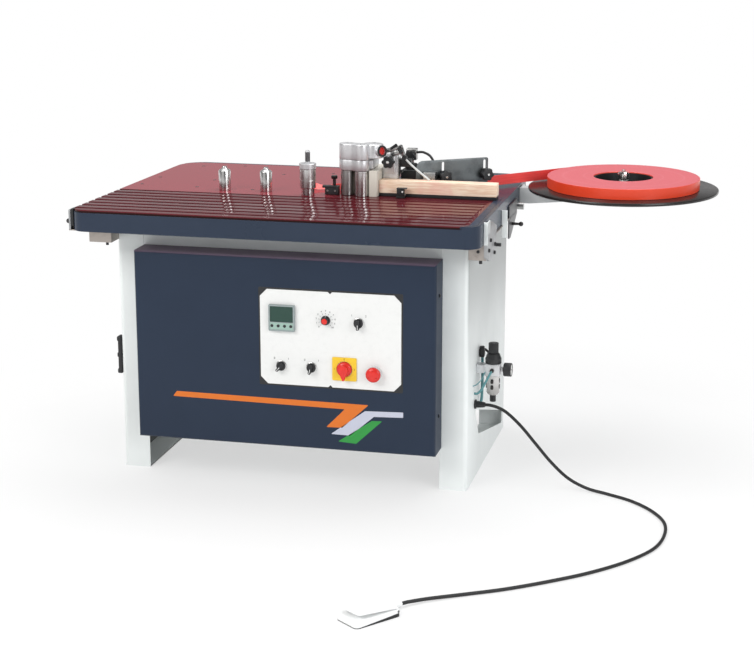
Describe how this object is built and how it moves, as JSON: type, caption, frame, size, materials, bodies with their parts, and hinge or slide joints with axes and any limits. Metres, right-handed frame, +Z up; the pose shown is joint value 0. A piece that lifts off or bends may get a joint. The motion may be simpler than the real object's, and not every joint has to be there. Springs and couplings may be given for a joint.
{
  "type": "edge banding machine",
  "caption": "Manual curvilinear edge banding machine: grooved table on a cabinet, glue head with rollers, tape reel on a side arm, control panel, air filter and a foot pedal on a cord.",
  "frame": {"origin": "on the floor, under the middle of the whole machine with its reel and pedal, its cord left out", "axes": "+X to the operator's right, towards the tape reel; +Y from the control panel to the back; +Z up"},
  "size_m": [1.725, 1.7726, 0.917],
  "materials": {
    "cabinet_white": "fine-textured powder coat, off-white",
    "cover_blue": "satin dark blue-grey powder coat",
    "table_blue": "semi-gloss blue-grey enamel",
    "top_red": "glossy dark red laminate with milled grooves",
    "panel_white": "smooth white enamel with a thin dark edge",
    "steel": "turned and ground steel",
    "plate_steel": "dark brushed steel sheet",
    "aluminium": "machined aluminium with soft edges",
    "pot_cream": "cream baked enamel",
    "wood": "pale board with pink streaks",
    "tape_red": "satin red plastic edging tape",
    "disc_black": "glossy black plastic disc",
    "arm_grey": "light grey paint",
    "motor_grey": "grey painted casting",
    "black_plastic": "black moulded plastic, slight sheen",
    "knob_red": "red moulded plastic",
    "filter_bowl": "grey guard round a smoky bowl",
    "hose_teal": "teal polyurethane air hose",
    "cord_rubber": "black rubber-sheathed cord",
    "pedal_cream": "cream painted foot switch"
  },
  "bodies": {
    "root": {"side_frame_left": "cabinet_white", "side_frame_right": "cabinet_white", "front_panel": "cabinet_white", "rear_panel": "cabinet_white", "floor_pan": "cabinet_white", "front_cover": "cover_blue", "table_frame": "table_blue", "table_top": "top_red", "control_plate": "panel_white", "edge_post": "steel", "air_cylinder": "steel", "reel_spindle": "steel", "drive_chain": "steel", "bracket_left": "steel", "bracket_right": "steel", "guide_bracket": "plate_steel", "head_housing": "aluminium", "head_cap": "aluminium", "cutter_frame": "aluminium", "regulator_body": "aluminium", "glue_pot": "pot_cream", "fence_board": "wood", "feed_tape": "tape_red", "reel_arm": "arm_grey", "drive_motor": "motor_grey", "trim_motor": "black_plastic", "pressure_gauge": "black_plastic", "cable_gland": "black_plastic", "temperature_controller": "black_plastic", "filter_bowl": "filter_bowl", "air_hose": "hose_teal", "pedal_cord": "cord_rubber", "pedal_base": "pedal_cream"},
    "press_roller": {"press_roller": "steel", "press_gear": "steel", "roller_sprocket": "steel"},
    "glue_roller": {"glue_roller": "steel", "glue_gear": "steel"},
    "motor_shaft": {"drive_sprocket": "steel"},
    "post_roller_1": {"post_roller_1": "steel"},
    "post_roller_2": {"post_roller_2": "steel"},
    "height_rod": {"height_rod": "steel"},
    "pressure_knob": {"pressure_knob": "black_plastic"},
    "cutter_blade": {"cutter_blade": "steel"},
    "tape_guide": {"tape_guide_plate": "plate_steel"},
    "guide_knob_1": {"guide_knob_1": "black_plastic"},
    "guide_knob_2": {"guide_knob_2": "black_plastic"},
    "reel": {"reel_disc": "disc_black", "tape_roll": "tape_red"},
    "regulator_knob": {"regulator_knob": "black_plastic"},
    "drain_valve": {"drain_valve": "black_plastic"},
    "speed_knob": {"speed_knob": "black_plastic"},
    "feed_selector": {"feed_selector": "black_plastic"},
    "heater_selector": {"heater_selector": "black_plastic"},
    "motor_selector": {"motor_selector": "black_plastic"},
    "main_handle": {"main_handle": "knob_red"},
    "estop_button": {"estop_button": "knob_red"},
    "thumb_screw_left": {"thumb_screw_left": "black_plastic"},
    "thumb_screw_right": {"thumb_screw_right": "black_plastic"},
    "pedal_treadle": {"pedal_treadle": "pedal_cream"}
  },
  "joints": [
    {"name": "press_roller_turn", "type": "hinge", "parent": "root", "child": "press_roller", "pos_m": [-0.11369, 0.32591, 0.8], "axis": [0, 0, 1], "continuous": true},
    {"name": "glue_roller_turn", "type": "hinge", "parent": "root", "child": "glue_roller", "pos_m": [-0.1585, 0.33833, 0.8], "axis": [0, 0, 1], "continuous": true},
    {"name": "motor_shaft_turn", "type": "hinge", "parent": "root", "child": "motor_shaft", "pos_m": [-0.3095, 0.37433, 0.7], "axis": [0, 0, 1], "continuous": true},
    {"name": "post_roller_1_turn", "type": "hinge", "parent": "root", "child": "post_roller_1", "pos_m": [-0.5205, 0.33533, 0.8], "axis": [0, 0, 1], "continuous": true},
    {"name": "post_roller_2_turn", "type": "hinge", "parent": "root", "child": "post_roller_2", "pos_m": [-0.3995, 0.34333, 0.8], "axis": [0, 0, 1], "continuous": true},
    {"name": "height_rod_slide", "type": "slide", "parent": "root", "child": "height_rod", "axis": [0, 0, 1], "range_m": [0, 0.03]},
    {"name": "pressure_knob_turn", "type": "hinge", "parent": "root", "child": "pressure_knob", "pos_m": [-0.0435, 0.36433, 0.8648], "axis": [0, -1, 0], "range_deg": [-180, 180]},
    {"name": "cutter_blade_slide", "type": "slide", "parent": "root", "child": "cutter_blade", "axis": [0, 0, 1], "range_m": [-0.038, 0], "stiffness_N_per_m": 150, "springref_m": 0.008},
    {"name": "tape_guide_slide", "type": "slide", "parent": "root", "child": "tape_guide", "axis": [0, 0, 1], "range_m": [-0.015, 0.006]},
    {"name": "guide_knob_1_turn", "type": "hinge", "parent": "root", "child": "guide_knob_1", "pos_m": [0.09544, 0.44605, 0.816], "axis": [0.5592, -0.829, 0], "range_deg": [-180, 180]},
    {"name": "guide_knob_2_turn", "type": "hinge", "parent": "root", "child": "guide_knob_2", "pos_m": [0.20238, 0.51818, 0.816], "axis": [0.5592, -0.829, 0], "range_deg": [-180, 180]},
    {"name": "reel_turn", "type": "hinge", "parent": "root", "child": "reel", "pos_m": [0.5905, 0.61433, 0.78], "axis": [0, 0, 1], "continuous": true},
    {"name": "regulator_knob_turn", "type": "hinge", "parent": "root", "child": "regulator_knob", "pos_m": [0.2855, 0.22933, 0.376], "axis": [0, 0, 1], "range_deg": [-180, 180]},
    {"name": "drain_valve_turn", "type": "hinge", "parent": "root", "child": "drain_valve", "pos_m": [0.2855, 0.22933, 0.232], "axis": [0, 0, 1], "range_deg": [0, 90]},
    {"name": "speed_knob_turn", "type": "hinge", "parent": "root", "child": "speed_knob", "pos_m": [-0.1345, 0.00003, 0.4865], "axis": [0, -1, 0], "range_deg": [-135, 135]},
    {"name": "feed_selector_turn", "type": "hinge", "parent": "root", "child": "feed_selector", "pos_m": [-0.0425, 0.00003, 0.484], "axis": [0, -1, 0], "range_deg": [-45, 45]},
    {"name": "heater_selector_turn", "type": "hinge", "parent": "root", "child": "heater_selector", "pos_m": [-0.2595, 0.00003, 0.353], "axis": [0, -1, 0], "range_deg": [0, 60]},
    {"name": "motor_selector_turn", "type": "hinge", "parent": "root", "child": "motor_selector", "pos_m": [-0.1745, 0.00003, 0.353], "axis": [0, -1, 0], "range_deg": [0, 60]},
    {"name": "main_handle_turn", "type": "hinge", "parent": "root", "child": "main_handle", "pos_m": [-0.0825, 0.00003, 0.354], "axis": [0, -1, 0], "range_deg": [0, 90]},
    {"name": "estop_button_slide", "type": "slide", "parent": "root", "child": "estop_button", "axis": [0, 1, 0], "range_m": [0, 0.004], "stiffness_N_per_m": 600},
    {"name": "thumb_screw_left_turn", "type": "hinge", "parent": "root", "child": "thumb_screw_left", "pos_m": [-0.8295, 0.04233, 0.742], "axis": [-1, 0, 0], "range_deg": [-180, 180]},
    {"name": "thumb_screw_right_turn", "type": "hinge", "parent": "root", "child": "thumb_screw_right", "pos_m": [0.3105, 0.44433, 0.738], "axis": [1, 0, 0], "range_deg": [-180, 180]},
    {"name": "pedal_treadle_turn", "type": "hinge", "parent": "root", "child": "pedal_treadle", "pos_m": [0.21637, -0.77187, 0.0183], "axis": [-0.7771, 0.6293, 0], "range_deg": [-4.5, 0], "stiffness_Nm_per_rad": 3, "springref_deg": 8.59}
  ],
  "couplings": [
    {"joint": "glue_roller_turn", "follows": "press_roller_turn", "ratio": -1},
    {"joint": "motor_shaft_turn", "follows": "press_roller_turn", "ratio": 1.4}
  ]
}
